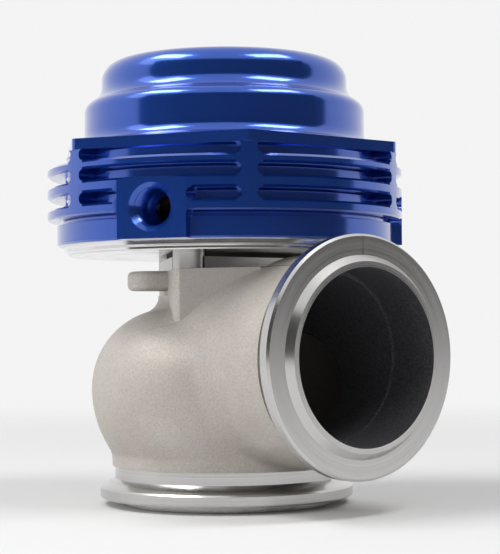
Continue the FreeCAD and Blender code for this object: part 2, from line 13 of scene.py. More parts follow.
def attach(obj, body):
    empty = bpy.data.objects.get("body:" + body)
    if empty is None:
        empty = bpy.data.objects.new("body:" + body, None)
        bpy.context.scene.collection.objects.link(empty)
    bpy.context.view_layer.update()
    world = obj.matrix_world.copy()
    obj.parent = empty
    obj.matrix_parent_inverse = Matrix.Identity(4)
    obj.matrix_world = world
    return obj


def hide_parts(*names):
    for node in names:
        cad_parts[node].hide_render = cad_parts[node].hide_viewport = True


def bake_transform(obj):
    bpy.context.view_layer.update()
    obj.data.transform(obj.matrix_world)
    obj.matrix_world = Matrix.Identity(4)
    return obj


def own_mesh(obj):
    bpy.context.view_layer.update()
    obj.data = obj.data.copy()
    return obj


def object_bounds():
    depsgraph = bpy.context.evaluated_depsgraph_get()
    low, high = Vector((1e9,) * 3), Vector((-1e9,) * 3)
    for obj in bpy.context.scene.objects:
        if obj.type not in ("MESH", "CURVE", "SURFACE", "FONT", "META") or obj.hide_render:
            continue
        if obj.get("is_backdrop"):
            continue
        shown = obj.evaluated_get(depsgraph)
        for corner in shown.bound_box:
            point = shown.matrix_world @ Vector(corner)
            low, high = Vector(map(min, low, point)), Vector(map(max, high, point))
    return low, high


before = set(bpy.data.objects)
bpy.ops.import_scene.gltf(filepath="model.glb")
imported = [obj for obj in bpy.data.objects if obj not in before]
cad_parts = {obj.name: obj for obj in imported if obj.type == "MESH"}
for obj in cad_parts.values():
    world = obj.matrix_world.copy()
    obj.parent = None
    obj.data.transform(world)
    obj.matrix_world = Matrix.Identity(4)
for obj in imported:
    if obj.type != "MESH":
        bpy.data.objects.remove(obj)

log = logging.getLogger("wastegate")
MM = 0.001
BEAD_Z = 79.6 * MM      # height at which the diaphragm is clamped
CENTRE = Vector((0.0, 0.0, 0.0))
ALONG = Vector((1.0, 0.0, 0.0))
UP = Vector((0.0, 0.0, 1.0))
Tint = tuple[float, float, float]


class Side(Enum):
    """Axis that a face was turned about."""

    STEM = "Z"
    OUTLET = "X"


# ---------------- node tools
class NodeSheet:
    """Short ways to add and join nodes in one node tree.

    A method that works something out gives the socket of its result.
    """

    def __init__(self, tree: NodeTree) -> None:
        """Keeps the tree that nodes are added to.

        Args:
            tree: the node tree of a material, a world or a group.
        """
        self.tree = tree

    def add(self, kind: str, **settings: object) -> Node:
        """Adds a node.

        Args:
            kind: the node's type, such as ShaderNodeMath.
            settings: attributes to set on the node.

        Returns:
            The new node.
        """
        node = self.tree.nodes.new(kind)
        for name, value in settings.items():
            setattr(node, name, value)
        return node

    def feed(self, source: object, target: NodeSocket) -> None:
        """Links a socket to a target, or writes a plain value on it.

        Args:
            source: an output socket, a number, or a tuple of numbers.
            target: the input socket that takes it.
        """
        if isinstance(source, NodeSocket):
            self.tree.links.new(source, target)
        elif target.type == "RGBA" and len(source) == 3:
            target.default_value = (*source, 1.0)
        else:
            target.default_value = source

    def math(self, operation: str, *values: object, clamp: bool = False) -> NodeSocket:
        """Adds a Math node.

        Args:
            operation: the node's operation.
            values: its inputs, as sockets or numbers.
            clamp: whether the result is kept from 0 to 1.
        """
        node = self.add("ShaderNodeMath", operation=operation, use_clamp=clamp)
        for value, socket in zip(values, node.inputs):
            self.feed(value, socket)
        return node.outputs[0]

    def mix(self, factor: object, low: object, high: object) -> NodeSocket:
        """Mixes two colours.

        Args:
            factor: 0 gives low and 1 gives high.
            low: the first colour.
            high: the second colour.
        """
        node = self.add("ShaderNodeMix", data_type="RGBA", clamp_factor=True)
        self.feed(factor, node.inputs[0])
        self.feed(low, node.inputs[6])
        self.feed(high, node.inputs[7])
        return node.outputs[2]

    def step(self, value: object, start: float, end: float) -> NodeSocket:
        """Smooth step from 0 at start to 1 at end.

        Args:
            value: the socket that is compared.
            start: where the result is 0.
            end: where the result is 1.
        """
        node = self.add("ShaderNodeMapRange", interpolation_type="SMOOTHSTEP")
        self.feed(value, node.inputs["Value"])
        node.inputs["From Min"].default_value = start
        node.inputs["From Max"].default_value = end
        return node.outputs["Result"]

    def plus(self, base: object, value: object, share: float) -> NodeSocket:
        """Adds a share of one value to another.

        Args:
            base: what is added to.
            value: what is added.
            share: factor of the value that is added.
        """
        return self.math("ADD", base, self.math("MULTIPLY", value, share))

    def hypot(self, first: object, second: object) -> NodeSocket:
        """Distance from an axis.

        Args:
            first: distance one way.
            second: distance across that.
        """
        squares = [self.math("MULTIPLY", side, side) for side in (first, second)]
        return self.math("SQRT", self.math("ADD", *squares))

    def cells(self, vector: object, size: object) -> NodeSocket:
        """A vector counted in cells.

        Args:
            vector: the vector in metres.
            size: width of a cell in metres.
        """
        node = self.add("ShaderNodeVectorMath", operation="SCALE")
        self.feed(vector, node.inputs[0])
        self.feed(self.math("DIVIDE", 1.0, size), node.inputs["Scale"])
        return node.outputs[0]

    def close(self, surface: NodeSocket, kind: str = "ShaderNodeOutputMaterial") -> None:
        """Adds the output node.

        Args:
            surface: the socket that it shows.
            kind: the output node's type.
        """
        self.feed(surface, self.add(kind).inputs["Surface"])

    def place(self) -> NodeSocket:
        """Position on the object, from Object coordinates."""
        return self.add("ShaderNodeTexCoord").outputs["Object"]

    def parts(self, vector: object) -> list[NodeSocket]:
        """X, Y and Z of a vector.

        Args:
            vector: the vector's socket.

        Returns:
            Three sockets.
        """
        node = self.add("ShaderNodeSeparateXYZ")
        self.feed(vector, node.inputs[0])
        return list(node.outputs)

    def noise(self, vector: object, scale: float, detail: float) -> NodeSocket:
        """Noise from 0 to 1.

        Args:
            vector: where the noise is read.
            scale: how many waves there are to a unit of the vector.
            detail: how many finer layers are added.
        """
        node = self.add("ShaderNodeTexNoise")
        self.feed(vector, node.inputs["Vector"])
        node.inputs["Scale"].default_value = scale
        node.inputs["Detail"].default_value = detail
        return node.outputs["Fac"]


# ---------------- shared helpers
def linked(name: str, data: bpy.types.ID) -> Object:
    """Puts new data in the scene.

    Args:
        name: the object's name.
        data: its mesh, light or camera.

    Returns:
        The new object.
    """
    item = bpy.data.objects.new(name, data)
    bpy.context.scene.collection.objects.link(item)
    return item


def blank(name: str) -> Material:
    """Makes a material without nodes.

    Args:
        name: the material's name.

    Returns:
        The material.
    """
    material = bpy.data.materials.new(name)
    material.use_nodes = True
    material.node_tree.nodes.clear()
    return material


def as_mesh(name: str, bm: BMesh) -> Mesh:
    """Turns a working mesh into data and frees it.

    Args:
        name: the data's name.
        bm: the working mesh.

    Returns:
        The data.
    """
    mesh = bpy.data.meshes.new(name)
    bm.to_mesh(mesh)
    bm.free()
    return mesh


def shade(colour: Tint, factor: float) -> Tint:
    """A colour made darker or lighter.

    Args:
        colour: the colour in linear light.
        factor: what each channel is multiplied by.

    Returns:
        The new colour.
    """
    return tuple(factor * channel for channel in colour)


def toward(azimuth: float, elevation: float = 0.0) -> Vector:
    """Unit vector from the stem axis to a place round the object.

    Args:
        azimuth: direction in degrees, 0 along -Y and 90 along +X.
        elevation: above the horizon, in degrees.

    Returns:
        The vector.
    """
    turn, rise = math.radians(azimuth), math.radians(elevation)
    return Vector((math.sin(turn) * math.cos(rise), -math.cos(turn) * math.cos(rise), math.sin(rise)))


def aim(lamp: Object, way: Vector) -> None:
    """Turns a lamp so that it shines back along a direction.

    Args:
        lamp: the lamp.
        way: unit vector from what it lights to the lamp.
    """
    lamp.rotation_mode = "QUATERNION"
    lamp.rotation_quaternion = way.to_track_quat("Z", "Y")


def arc(bm: BMesh, start: BMVert, centre: Vector, angle: float, steps: int) -> BMVert:
    """Draws an arc in the XZ plane.

    Args:
        bm: the mesh that takes it.
        start: the vertex where it starts.
        centre: middle of the arc.
        angle: how far it runs, in radians.
        steps: how many edges it has.

    Returns:
        The vertex where it ends.
    """
    run = bmesh.ops.spin(bm, geom=[start], cent=centre, axis=(0.0, -1.0, 0.0), angle=angle, steps=steps)
    return next(g for g in run["geom_last"] if isinstance(g, BMVert))


def revolve(bm: BMesh, axis: Vector, steps: int) -> None:
    """Spins an outline all the way round an axis through the origin.

    Args:
        bm: the mesh that holds nothing but the outline.
        axis: the axis.
        steps: how many faces go round it.
    """
    bmesh.ops.spin(
        bm, geom=bm.verts[:] + bm.edges[:], cent=CENTRE, axis=axis, angle=math.tau, steps=steps,
        use_merge=True)


def cut_away(bm: BMesh, spot: Vector, normal: Vector) -> list[BMEdge]:
    """Cuts off what lies beyond a plane.

    Args:
        bm: the mesh that is cut.
        spot: a point of the plane.
        normal: points to the side that goes.

    Returns:
        The edges along the cut.
    """
    cut = bmesh.ops.bisect_plane(
        bm, geom=bm.verts[:] + bm.edges[:] + bm.faces[:], plane_co=spot, plane_no=normal, clear_outer=True)
    return [g for g in cut["geom_cut"] if isinstance(g, BMEdge)]


def pour(bm: BMesh, part: BMesh) -> None:
    """Adds one mesh to another and frees it.

    Args:
        bm: the mesh that grows.
        part: the mesh that is added.
    """
    mesh = as_mesh("part", part)
    bm.from_mesh(mesh)
    bpy.data.meshes.remove(mesh)


# ---------------- shared effects
class Effects:
    """The node groups that more than one finish uses, each made once."""

    def __init__(self) -> None:
        """Builds every group."""
        self.grain = self._grain()
        self.turning = self._turning()
        self.stain = self._stain()

    @staticmethod
    def _open(name: str, *outputs: str) -> tuple[NodeSheet, object, object, Node]:
        """Starts a group that reads a place and one size, giving its sheet, both sockets and output."""
        tree = bpy.data.node_groups.new(name, "ShaderNodeTree")
        tree.interface.new_socket("Place", in_out="INPUT", socket_type="NodeSocketVector")
        tree.interface.new_socket("Size", in_out="INPUT", socket_type="NodeSocketFloat")
        for label in outputs:
            tree.interface.new_socket(label, in_out="OUTPUT", socket_type="NodeSocketFloat")
        sheet = NodeSheet(tree)
        given = sheet.add("NodeGroupInput")
        return sheet, given.outputs["Place"], given.outputs["Size"], sheet.add("NodeGroupOutput")

    def _grain(self) -> NodeTree:
        """Makes the cast grain, a group with a Height, a Tone and a Patch output."""
        sheet, place, size, out = self._open("blasted_grain", "Height", "Tone", "Patch")
        spot = sheet.cells(place, size)
        fine = sheet.noise(spot, scale=1.0, detail=4.0)
        coarse = sheet.noise(spot, scale=0.31, detail=2.0)
        height = sheet.plus(sheet.math("MULTIPLY", fine, 0.6), coarse, share=0.4)
        patch = sheet.noise(spot, scale=0.035, detail=3.0)
        sheet.feed(height, out.inputs["Height"])
        sheet.feed(sheet.step(fine, start=0.3, end=0.7), out.inputs["Tone"])
        sheet.feed(sheet.step(patch, start=0.32, end=0.68), out.inputs["Patch"])
        return sheet.tree

    def _turning(self) -> NodeTree:
        """Makes fine lathe marks round the Z axis of a place, with a Height and a Tone output."""
        sheet, place, size, out = self._open("lathe_marks", "Height", "Tone")
        x, y, z = sheet.parts(place)
        along = sheet.plus(sheet.hypot(x, y), z, share=1.31)
        line = sheet.add("ShaderNodeCombineXYZ")
        sheet.feed(sheet.math("DIVIDE", along, size), line.inputs[0])
        fine = sheet.noise(line.outputs[0], scale=1.0, detail=2.0)
        broad = sheet.noise(line.outputs[0], scale=0.13, detail=2.0)
        tone = sheet.plus(sheet.math("MULTIPLY", fine, 0.5), broad, share=0.5)
        sheet.feed(fine, out.inputs["Height"])
        sheet.feed(sheet.step(tone, start=0.3, end=0.7), out.inputs["Tone"])
        return sheet.tree

    def _stain(self) -> NodeTree:
        """Makes handling marks and thin dulled patches, a group with a Mask output."""
        sheet, place, size, out = self._open("handling_marks", "Mask")
        spot = sheet.cells(place, size)
        wide = sheet.step(sheet.noise(spot, scale=1.0, detail=5.0), start=0.45, end=0.75)
        streak = sheet.step(sheet.noise(spot, scale=4.0, detail=3.0), start=0.35, end=0.8)
        sheet.feed(sheet.math("MULTIPLY", wide, streak), out.inputs["Mask"])
        return sheet.tree


# ---------------- finishes
class Brush(NodeSheet):
    """Node sheet of one new material, with its shader and the shared effects."""

    def __init__(self, name: str, effects: Effects) -> None:
        """Makes the material.

        Args:
            name: the material's name.
            effects: the shared groups.
        """
        self.material = blank(name)
        super().__init__(self.material.node_tree)
        self.effects = effects
        self.shader = self.add("ShaderNodeBsdfPrincipled")
        self.close(self.shader.outputs["BSDF"])

    def show(self, **values: object) -> None:
        """Feeds the shader.

        Args:
            values: what each of its inputs takes, with _ for a space.
        """
        for label, value in values.items():
            self.feed(value, self.shader.inputs[label.replace("_", " ")])

    def effect(self, tree: NodeTree, place: object, size: float) -> bpy.types.bpy_prop_collection:
        """Places a shared effect.

        Args:
            tree: the effect's group.
            place: where the effect is read.
            size: the effect's size.

        Returns:
            The effect's outputs.
        """
        node = self.add("ShaderNodeGroup", node_tree=tree)
        self.feed(place, node.inputs["Place"])
        self.feed(size, node.inputs["Size"])
        return node.outputs

    def bump(self, height: object, depth: float, strength: float = 1.0) -> None:
        """Feeds a bump to the shader.

        Args:
            height: the height's socket, from 0 to 1.
            depth: the depth in metres of a height of 1.
            strength: how much of the bump is used.
        """
        node = self.add("ShaderNodeBump")
        node.inputs["Strength"].default_value = strength
        node.inputs["Distance"].default_value = depth
        self.feed(height, node.inputs["Height"])
        self.show(Normal=node.outputs["Normal"])


@dataclass(frozen=True)
class Finish:
    """What every finish shares.

    Attributes:
        name: the material's name.
        colour: base colour in linear light.
        roughness: least roughness.
        metallic: 1 for bare metal.
    """

    name: str
    colour: Tint
    roughness: float
    metallic: float = 1.0

    def make(self, effects: Effects) -> Material:
        """Builds the material.

        Args:
            effects: the shared groups.

        Returns:
            The material.
        """
        brush = Brush(self.name, effects)
        brush.show(Metallic=self.metallic)
        self.paint(brush)
        return brush.material

    def paint(self, brush: Brush) -> None:
        """Feeds the shader. Each kind of finish has its own way.

        Args:
            brush: the material's node sheet.
        """
        raise NotImplementedError(self.name)


@dataclass(frozen=True)
class Turned(Finish):
    """Bright metal straight from the lathe, with marks round the stem axis.

    Attributes:
        pitch, depth: distance between lathe marks, and their depth.
        contrast, mark_rough: how far they darken the colour, and roughness that they add.
        groove: factor of the colour in a lathe mark.
        stain, stain_rough: size of the dulled patches, and roughness that they add.
    """

    pitch: float = 0.00035
    depth: float = 0.000008
    contrast: float = 0.4
    mark_rough: float = 0.08
    groove: float = 0.8
    stain: float = 0.018
    stain_rough: float = 0.12

    def dark(self) -> Tint:
        """Colour in the depth of a lathe mark."""
        return shade(self.colour, self.groove)

    def paint(self, brush: Brush) -> None:
        """Feeds the shader with lathe marks and dulled patches."""
        place = brush.place()
        marks = brush.effect(brush.effects.turning, place, self.pitch)
        dulled = brush.effect(brush.effects.stain, place, self.stain)
        tone = brush.math("MULTIPLY", marks["Tone"], self.contrast)
        rough = brush.plus(self.roughness, marks["Tone"], self.mark_rough)
        rough = brush.plus(rough, dulled["Mask"], self.stain_rough)
        brush.show(Base_Color=brush.mix(tone, self.colour, self.dark()), Roughness=rough)
        brush.bump(marks["Height"], self.depth)


@dataclass(frozen=True)
class Anodised(Turned):
    """Dyed, clear-sealed anodising over turned aluminium.

    Attributes:
        deep: darker dye where the film is thick.
        coat, coat_rough, coat_ior: strength, roughness and refractive index of the clear seal.
    """

    pitch: float = 0.0004
    depth: float = 0.000002
    contrast: float = 0.35
    mark_rough: float = 0.05
    stain: float = 0.03
    stain_rough: float = 0.06
    deep: Tint = (0.02, 0.05, 0.3)
    coat: float = 0.6
    coat_rough: float = 0.12
    coat_ior: float = 1.6

    def dark(self) -> Tint:
        """Colour in the depth of a lathe mark."""
        return self.deep

    def paint(self, brush: Brush) -> None:
        """Feeds the shader with dyed metal under a clear seal."""
        super().paint(brush)
        brush.show(Coat_Weight=self.coat, Coat_Roughness=self.coat_rough, Coat_IOR=self.coat_ior)


@dataclass(frozen=True)
class Plain(Finish):
    """Dull material with a fine grain, such as rubber, sheet gasket or blackened steel.

    Attributes:
        grain, depth: size and depth of the grain.
        shift, grain_rough: how far the colour varies, and roughness that the grain adds.
    """

    grain: float = 0.0004
    depth: float = 0.00002
    shift: float = 0.25
    grain_rough: float = 0.1

    def paint(self, brush: Brush) -> None:
        """Feeds the shader with an even, grained surface."""
        grain = brush.effect(brush.effects.grain, brush.place(), self.grain)
        other = shade(self.colour, 1.0 - self.shift)
        brush.show(
            Base_Color=brush.mix(grain["Patch"], self.colour, other),
            Roughness=brush.plus(self.roughness, grain["Tone"], self.grain_rough))
        brush.bump(grain["Height"], self.depth)


@dataclass(frozen=True)
class CastBody(Finish):
    """Blasted stainless casting with machined flanges, neck and flats.

    Attributes:
        bright, bore: colours of the machined faces, and the near-black colour painted in the outlet's bore as
            painted shade.
        warm: factors of the cast colour in its warmer patches.
        pit, milled: factors of the cast colour in its pits, and of the painted shade on the neck's flats.
        groove, speck: factors of the bright colour in a lathe mark, and of the bore's in its specks.
        contrast, flat_share: how far pits and lathe marks show, and how far the painted shade on the flats
            shows.
        grain, grain_rough: size of the cast grain, and roughness that it adds.
        depth, strength: depth of the grain, and how much of the bump is used.
        pitch, mark_height: distance between lathe marks, and their height where the grain's is 1.
        fine_rough, mark_rough: roughness of the machined faces, and what lathe marks add.
        bore_dull: share of the metal look that the bore loses.
        inlet_top, neck_top: heights of the machined inlet neck's top and of the machined top face.
        outlet_x, outlet_z: where the machined outlet flange starts, and its axis's height.
        bore_r, bore_from: radius of the outlet bore, and where it starts.
        flat, flat_angle, flat_low: the flats' distance from the stem, direction in degrees and foot.
        edge: how far a mask reaches past its face.
    """

    bright: Tint = (0.60, 0.59, 0.58)
    # painted shade: near-black colour painted in the outlet's bore
    bore: Tint = (0.05, 0.05, 0.055)
    warm: Tint = (0.92, 0.90, 0.87)
    pit: float = 0.6
    # painted shade: factor that darkens the neck's flats
    flat_shade: float = 0.62
    groove: float = 0.8
    speck: float = 2.2
    contrast: float = 0.35
    flat_share: float = 0.8
    grain: float = 0.00045
    grain_rough: float = 0.1
    depth: float = 0.00013
    strength: float = 0.8
    pitch: float = 0.0003
    fine_rough: float = 0.16
    mark_rough: float = 0.12
    mark_height: float = 0.05
    bore_dull: float = 0.5
    inlet_top: float = 8.8 * MM
    outlet_x: float = 41.25 * MM
    outlet_z: float = 34.0 * MM
    bore_r: float = 19.0 * MM
    bore_from: float = 4.0 * MM
    flat: float = 24.1 * MM
    flat_angle: float = 60.0
    flat_low: float = 37.0 * MM
    neck_top: float = 53.6 * MM
    edge: float = 0.05 * MM

    def _lay(self, brush: Brush, side: Side) -> NodeSocket:
        """Turns the place so that its Z runs along the axis that a face was turned about."""
        if side is Side.STEM:
            return brush.place()
        node = brush.add("ShaderNodeMapping", vector_type="POINT")
        brush.feed(brush.place(), node.inputs["Vector"])
        node.inputs["Location"].default_value = (self.outlet_z, 0.0, 0.0)
        node.inputs["Rotation"].default_value = (0.0, math.radians(-90.0), 0.0)
        return node.outputs[0]

    def _masks(self, brush: Brush) -> tuple[NodeSocket, ...]:
        """Masks the flanges, the neck's flats, the bore and the outlet's end."""
        x, y, z = brush.parts(brush.place())
        radius = brush.hypot(y, brush.math("SUBTRACT", z, self.outlet_z))
        inside = brush.math("LESS_THAN", radius, self.bore_r + 2 * self.edge)
        # bore marks the outlet's bore, where the painted shade goes
        bore = brush.math("MULTIPLY", inside, brush.math("GREATER_THAN", x, self.bore_from))

        low = brush.math("LESS_THAN", z, self.inlet_top + self.edge)
        far = brush.math("GREATER_THAN", x, self.outlet_x - self.edge)
        top = brush.math("GREATER_THAN", z, self.neck_top - self.edge)
        near_top = brush.math("LESS_THAN", z, self.neck_top + self.edge)
        flange = brush.math("MAXIMUM", brush.math("MAXIMUM", low, far), brush.math("MULTIPLY", top, near_top))

        turn = math.radians(self.flat_angle)
        ahead = brush.math("MULTIPLY", x, math.cos(turn))
        out = brush.plus(ahead, brush.math("ABSOLUTE", y), math.sin(turn))
        # flat marks the neck's flats, where the painted shade goes
        level = brush.math("COMPARE", out, self.flat, self.edge)
        flat = brush.math("MULTIPLY", level, brush.math("GREATER_THAN", z, self.flat_low))
        at_outlet = brush.math("GREATER_THAN", x, self.outlet_x - 2 * self.edge)
        return brush.math("SUBTRACT", flange, bore, clamp=True), flat, bore, at_outlet

    def paint(self, brush: Brush) -> None:
        """Feeds the shader with cast and turned surfaces, and painted shade on the neck's flats and in the
        outlet's bore.
        """
        flange, flat, bore, at_outlet = self._masks(brush)
        grain = brush.effect(brush.effects.grain, brush.place(), self.grain)
        stem, outlet = (
            brush.effect(brush.effects.turning, self._lay(brush, side), self.pitch)["Tone"] for side in Side)
        tone = brush.mix(at_outlet, stem, outlet)

        patch = tuple(channel * factor for channel, factor in zip(self.colour, self.warm))
        cast = brush.mix(grain["Patch"], self.colour, patch)
        pits = brush.math("MULTIPLY", grain["Tone"], self.contrast)
        cast = brush.mix(pits, cast, shade(self.colour, self.pit))
        marks = brush.math("MULTIPLY", tone, self.contrast)
        machined = brush.mix(marks, self.bright, shade(self.bright, self.groove))
        colour = brush.mix(flange, cast, machined)
        # painted shade: the neck's flats are darkened, for the shade that falls on them
        flat_shade = brush.math("MULTIPLY", flat, self.flat_share)
        colour = brush.mix(flat_shade, colour, shade(self.colour, self.flat_shade))
        # painted shade: the bore is painted near black, with lighter specks, for the shade inside the outlet
        painted_bore_shade = brush.mix(grain["Tone"], self.bore, shade(self.bore, self.speck))

        rough = brush.plus(self.roughness, grain["Tone"], self.grain_rough)
        fine = brush.plus(self.fine_rough, tone, self.mark_rough)
        change = brush.math("MULTIPLY", flange, brush.math("SUBTRACT", fine, rough))
        metal = brush.plus(self.metallic, flange, 1.0 - self.metallic)
        left = brush.math("SUBTRACT", 1.0, brush.math("MULTIPLY", bore, self.bore_dull))
        brush.show(
            Base_Color=brush.mix(bore, colour, painted_bore_shade), Roughness=brush.math("ADD", rough, change),
            Metallic=brush.math("MULTIPLY", metal, left))

        rough_height = brush.math("MULTIPLY", grain["Height"], brush.math("SUBTRACT", 1.0, flange))
        height = brush.plus(rough_height, brush.math("MULTIPLY", tone, flange), self.mark_height)
        brush.bump(height, self.depth, self.strength)


# ---------------- the studio
@dataclass(frozen=True)
class Camera:
    """The camera, a little above the duct.

    Attributes:
        azimuth: direction in degrees, 0 along -Y and 90 along +X.
        distance: from the stem axis.
        height: of the eye.
        lens, sensor: focal length and long side of the sensor, in millimetres.
        nearest, farthest: distances between which things are seen.
        yaw, pitch, roll: turns to the right, upwards and clockwise, in degrees.
    """

    azimuth: float = 52.723
    distance: float = 374.6 * MM
    height: float = 40.503 * MM
    lens: float = 103.94
    sensor: float = 36.0
    nearest: float = 0.01
    farthest: float = 50.0
    yaw: float = 0.880
    pitch: float = 1.799
    roll: float = 0.393

    def set_up(self) -> None:
        """Makes the camera and gives it to the scene."""
        data = bpy.data.cameras.new("eye")
        data.sensor_width = self.sensor
        data.lens = self.lens
        data.clip_start = self.nearest
        data.clip_end = self.farthest
        camera = linked("eye", data)
        back = toward(self.azimuth)
        level = Matrix((UP.cross(back), UP, back)).transposed().to_4x4()
        yaw = Matrix.Rotation(math.radians(-self.yaw), 4, "Y")
        pitch = Matrix.Rotation(math.radians(self.pitch), 4, "X")
        roll = Matrix.Rotation(math.radians(-self.roll), 4, "Z")
        spot = back * self.distance + UP * self.height
        camera.matrix_world = Matrix.Translation(spot) @ level @ yaw @ pitch @ roll
        bpy.context.scene.camera = camera


@dataclass(frozen=True)
class Lamp:
    """A soft rectangular lamp aimed at the middle of the object.

    Attributes:
        name: the lamp's name.
        azimuth: where it stands, in the camera's convention.
        elevation: above the horizon, in degrees.
        distance: from the object.
        width, height: of its face.
        watts: its power.
        in_gloss: whether glossy surfaces reflect it.
    """

    name: str
    azimuth: float
    elevation: float
    distance: float
    width: float
    height: float
    watts: float
    in_gloss: bool = True

    def set_up(self, middle: Vector) -> None:
        """Makes the lamp.

        Args:
            middle: the point that it faces.
        """
        data = bpy.data.lights.new(self.name, "AREA")
        data.shape = "RECTANGLE"
        data.size = self.width
        data.size_y = self.height
        data.energy = self.watts
        lamp = linked(self.name, data)
        lamp.visible_glossy = self.in_gloss
        way = toward(self.azimuth, self.elevation)
        lamp.location = middle + way * self.distance
        aim(lamp, way)


@dataclass(frozen=True)
class Studio:
    """Pale floor and sky, soft lamps, a soft sun, and a dark screen on the camera's side.

    Attributes:
        floor_r, fade_from: radius of the floor, and of the part that doesn't fade.
        floor_colour, floor_gap: its colour, and room between it and the object.
        sky: brightness of the world to the eye and in gloss.
        sky_fill: brightness with which it lights dull surfaces.
        screen_tone, screen_r, screen_height: the screen's brightness, radius and height.
        screen_from, screen_to: its two ends, in degrees from the camera.
        sun_azimuth, sun_elevation: where the sun stands, in the camera's convention.
        sun_strength, sun_angle: its strength, and its width in degrees.
        lamps: the soft lamps.
    """

    floor_r: float = 0.50
    fade_from: float = 0.09
    floor_colour: Tint = (0.78, 0.78, 0.78)
    floor_gap: float = 0.1 * MM
    sky: float = 0.9
    sky_fill: float = 0.42
    screen_tone: float = 0.075
    screen_r: float = 1.6
    screen_height: float = 1.3
    screen_from: float = -72.0
    screen_to: float = 88.0
    sun_azimuth: float = -20.0
    sun_elevation: float = 42.0
    sun_strength: float = 0.45
    sun_angle: float = 40.0
    lamps: tuple[Lamp, ...] = (
        Lamp("over_left", -20.0, 57.0, distance=0.8, width=0.40, height=0.20, watts=2.4),
        Lamp("over_right", 112.0, 57.0, distance=0.8, width=0.42, height=0.20, watts=2.4),
        Lamp("low_left", -8.0, 4.0, distance=0.7, width=0.5, height=0.4, watts=3.4, in_gloss=False),
    )

    def _floor(self) -> None:
        """Makes the pale floor under the object, which fades out away from it."""
        bm = bmesh.new()
        bmesh.ops.create_circle(bm, cap_ends=True, segments=96, radius=self.floor_r)
        floor = linked("floor", as_mesh("floor", bm))
        floor.location.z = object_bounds()[0].z - self.floor_gap
        material = blank("pale_floor")
        sheet = NodeSheet(material.node_tree)
        matt = sheet.add("ShaderNodeBsdfDiffuse")
        matt.inputs["Color"].default_value = (*self.floor_colour, 1.0)
        clear = sheet.add("ShaderNodeBsdfTransparent")
        away = sheet.add("ShaderNodeVectorMath", operation="LENGTH")
        sheet.feed(sheet.place(), away.inputs[0])
        blend = sheet.add("ShaderNodeMixShader")
        sheet.feed(sheet.step(away.outputs["Value"], self.fade_from, self.floor_r), blend.inputs["Fac"])
        sheet.feed(matt.outputs[0], blend.inputs[1])
        sheet.feed(clear.outputs[0], blend.inputs[2])
        sheet.close(blend.outputs[0])
        floor.data.materials.append(material)
        floor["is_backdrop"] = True

    def _screen(self) -> None:
        """Stands a curved dark screen on the camera's side, seen only in gloss."""
        bm = bmesh.new()
        foot = toward(Camera.azimuth + self.screen_from) * self.screen_r
        low, high = bm.verts.new(foot), bm.verts.new(foot + UP * self.screen_height)
        edge = bm.edges.new((low, high))
        bmesh.ops.spin(
            bm, geom=[low, high, edge], cent=CENTRE, axis=UP, steps=40,
            angle=math.radians(self.screen_to - self.screen_from))
        screen = linked("screen", as_mesh("screen", bm))
        material = blank("dark_screen")
        sheet = NodeSheet(material.node_tree)
        glow = sheet.add("ShaderNodeEmission")
        glow.inputs["Color"].default_value = (self.screen_tone,) * 3 + (1.0,)
        sheet.close(glow.outputs[0])
        screen.data.materials.append(material)
        screen.visible_camera = False
        screen.visible_diffuse = False
        screen.visible_shadow = False
        screen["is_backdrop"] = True

    def _sun(self) -> None:
        """Hangs a soft sun that lights the floor evenly."""
        data = bpy.data.lights.new("sun", "SUN")
        data.energy = self.sun_strength
        data.angle = math.radians(self.sun_angle)
        aim(linked("sun", data), toward(self.sun_azimuth, self.sun_elevation))

    def _sky(self) -> None:
        """Pale world for the eye and for gloss, and a softer fill for dull surfaces."""
        world = bpy.data.worlds.new("studio")
        world.use_nodes = True
        world.node_tree.nodes.clear()
        sheet = NodeSheet(world.node_tree)
        rays = sheet.add("ShaderNodeLightPath")
        seen = sheet.math("MAXIMUM", rays.outputs["Is Camera Ray"], rays.outputs["Is Glossy Ray"])
        seen = sheet.math("MAXIMUM", seen, rays.outputs["Is Transmission Ray"])
        light = sheet.add("ShaderNodeBackground")
        sheet.feed(sheet.plus(self.sky_fill, seen, self.sky - self.sky_fill), light.inputs["Strength"])
        light.inputs["Color"].default_value = (1.0, 1.0, 1.0, 1.0)
        sheet.close(light.outputs[0], "ShaderNodeOutputWorld")
        bpy.context.scene.world = world

    def set_up(self) -> None:
        """Builds the whole studio and the camera."""
        self._floor()
        self._screen()
        self._sun()
        self._sky()
        low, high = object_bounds()
        for lamp in self.lamps:
            lamp.set_up((low + high) / 2)
        Camera().set_up()
        bpy.context.scene.view_settings.view_transform = "Standard"


# ---------------- the object
@dataclass(frozen=True)
class SubAssembly:
    """A group of CAD nodes and the finish of each.

    Attributes:
        name, finishes: the group's name, and each node's finish.
    """

    name: str
    finishes: dict[str, Finish]

    def dress(self, effects: Effects, made: dict[str, Material]) -> None:
        """Puts each node's finish on it.

        Args:
            effects: the shared groups.
            made: finishes made so far, by name.
        """
        for node, finish in self.finishes.items():
            if finish.name not in made:
                made[finish.name] = finish.make(effects)
            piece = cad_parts[node]
            piece.data.materials.clear()
            piece.data.materials.append(made[finish.name])
            log.info("%s: %s has %s", self.name, node, finish.name)


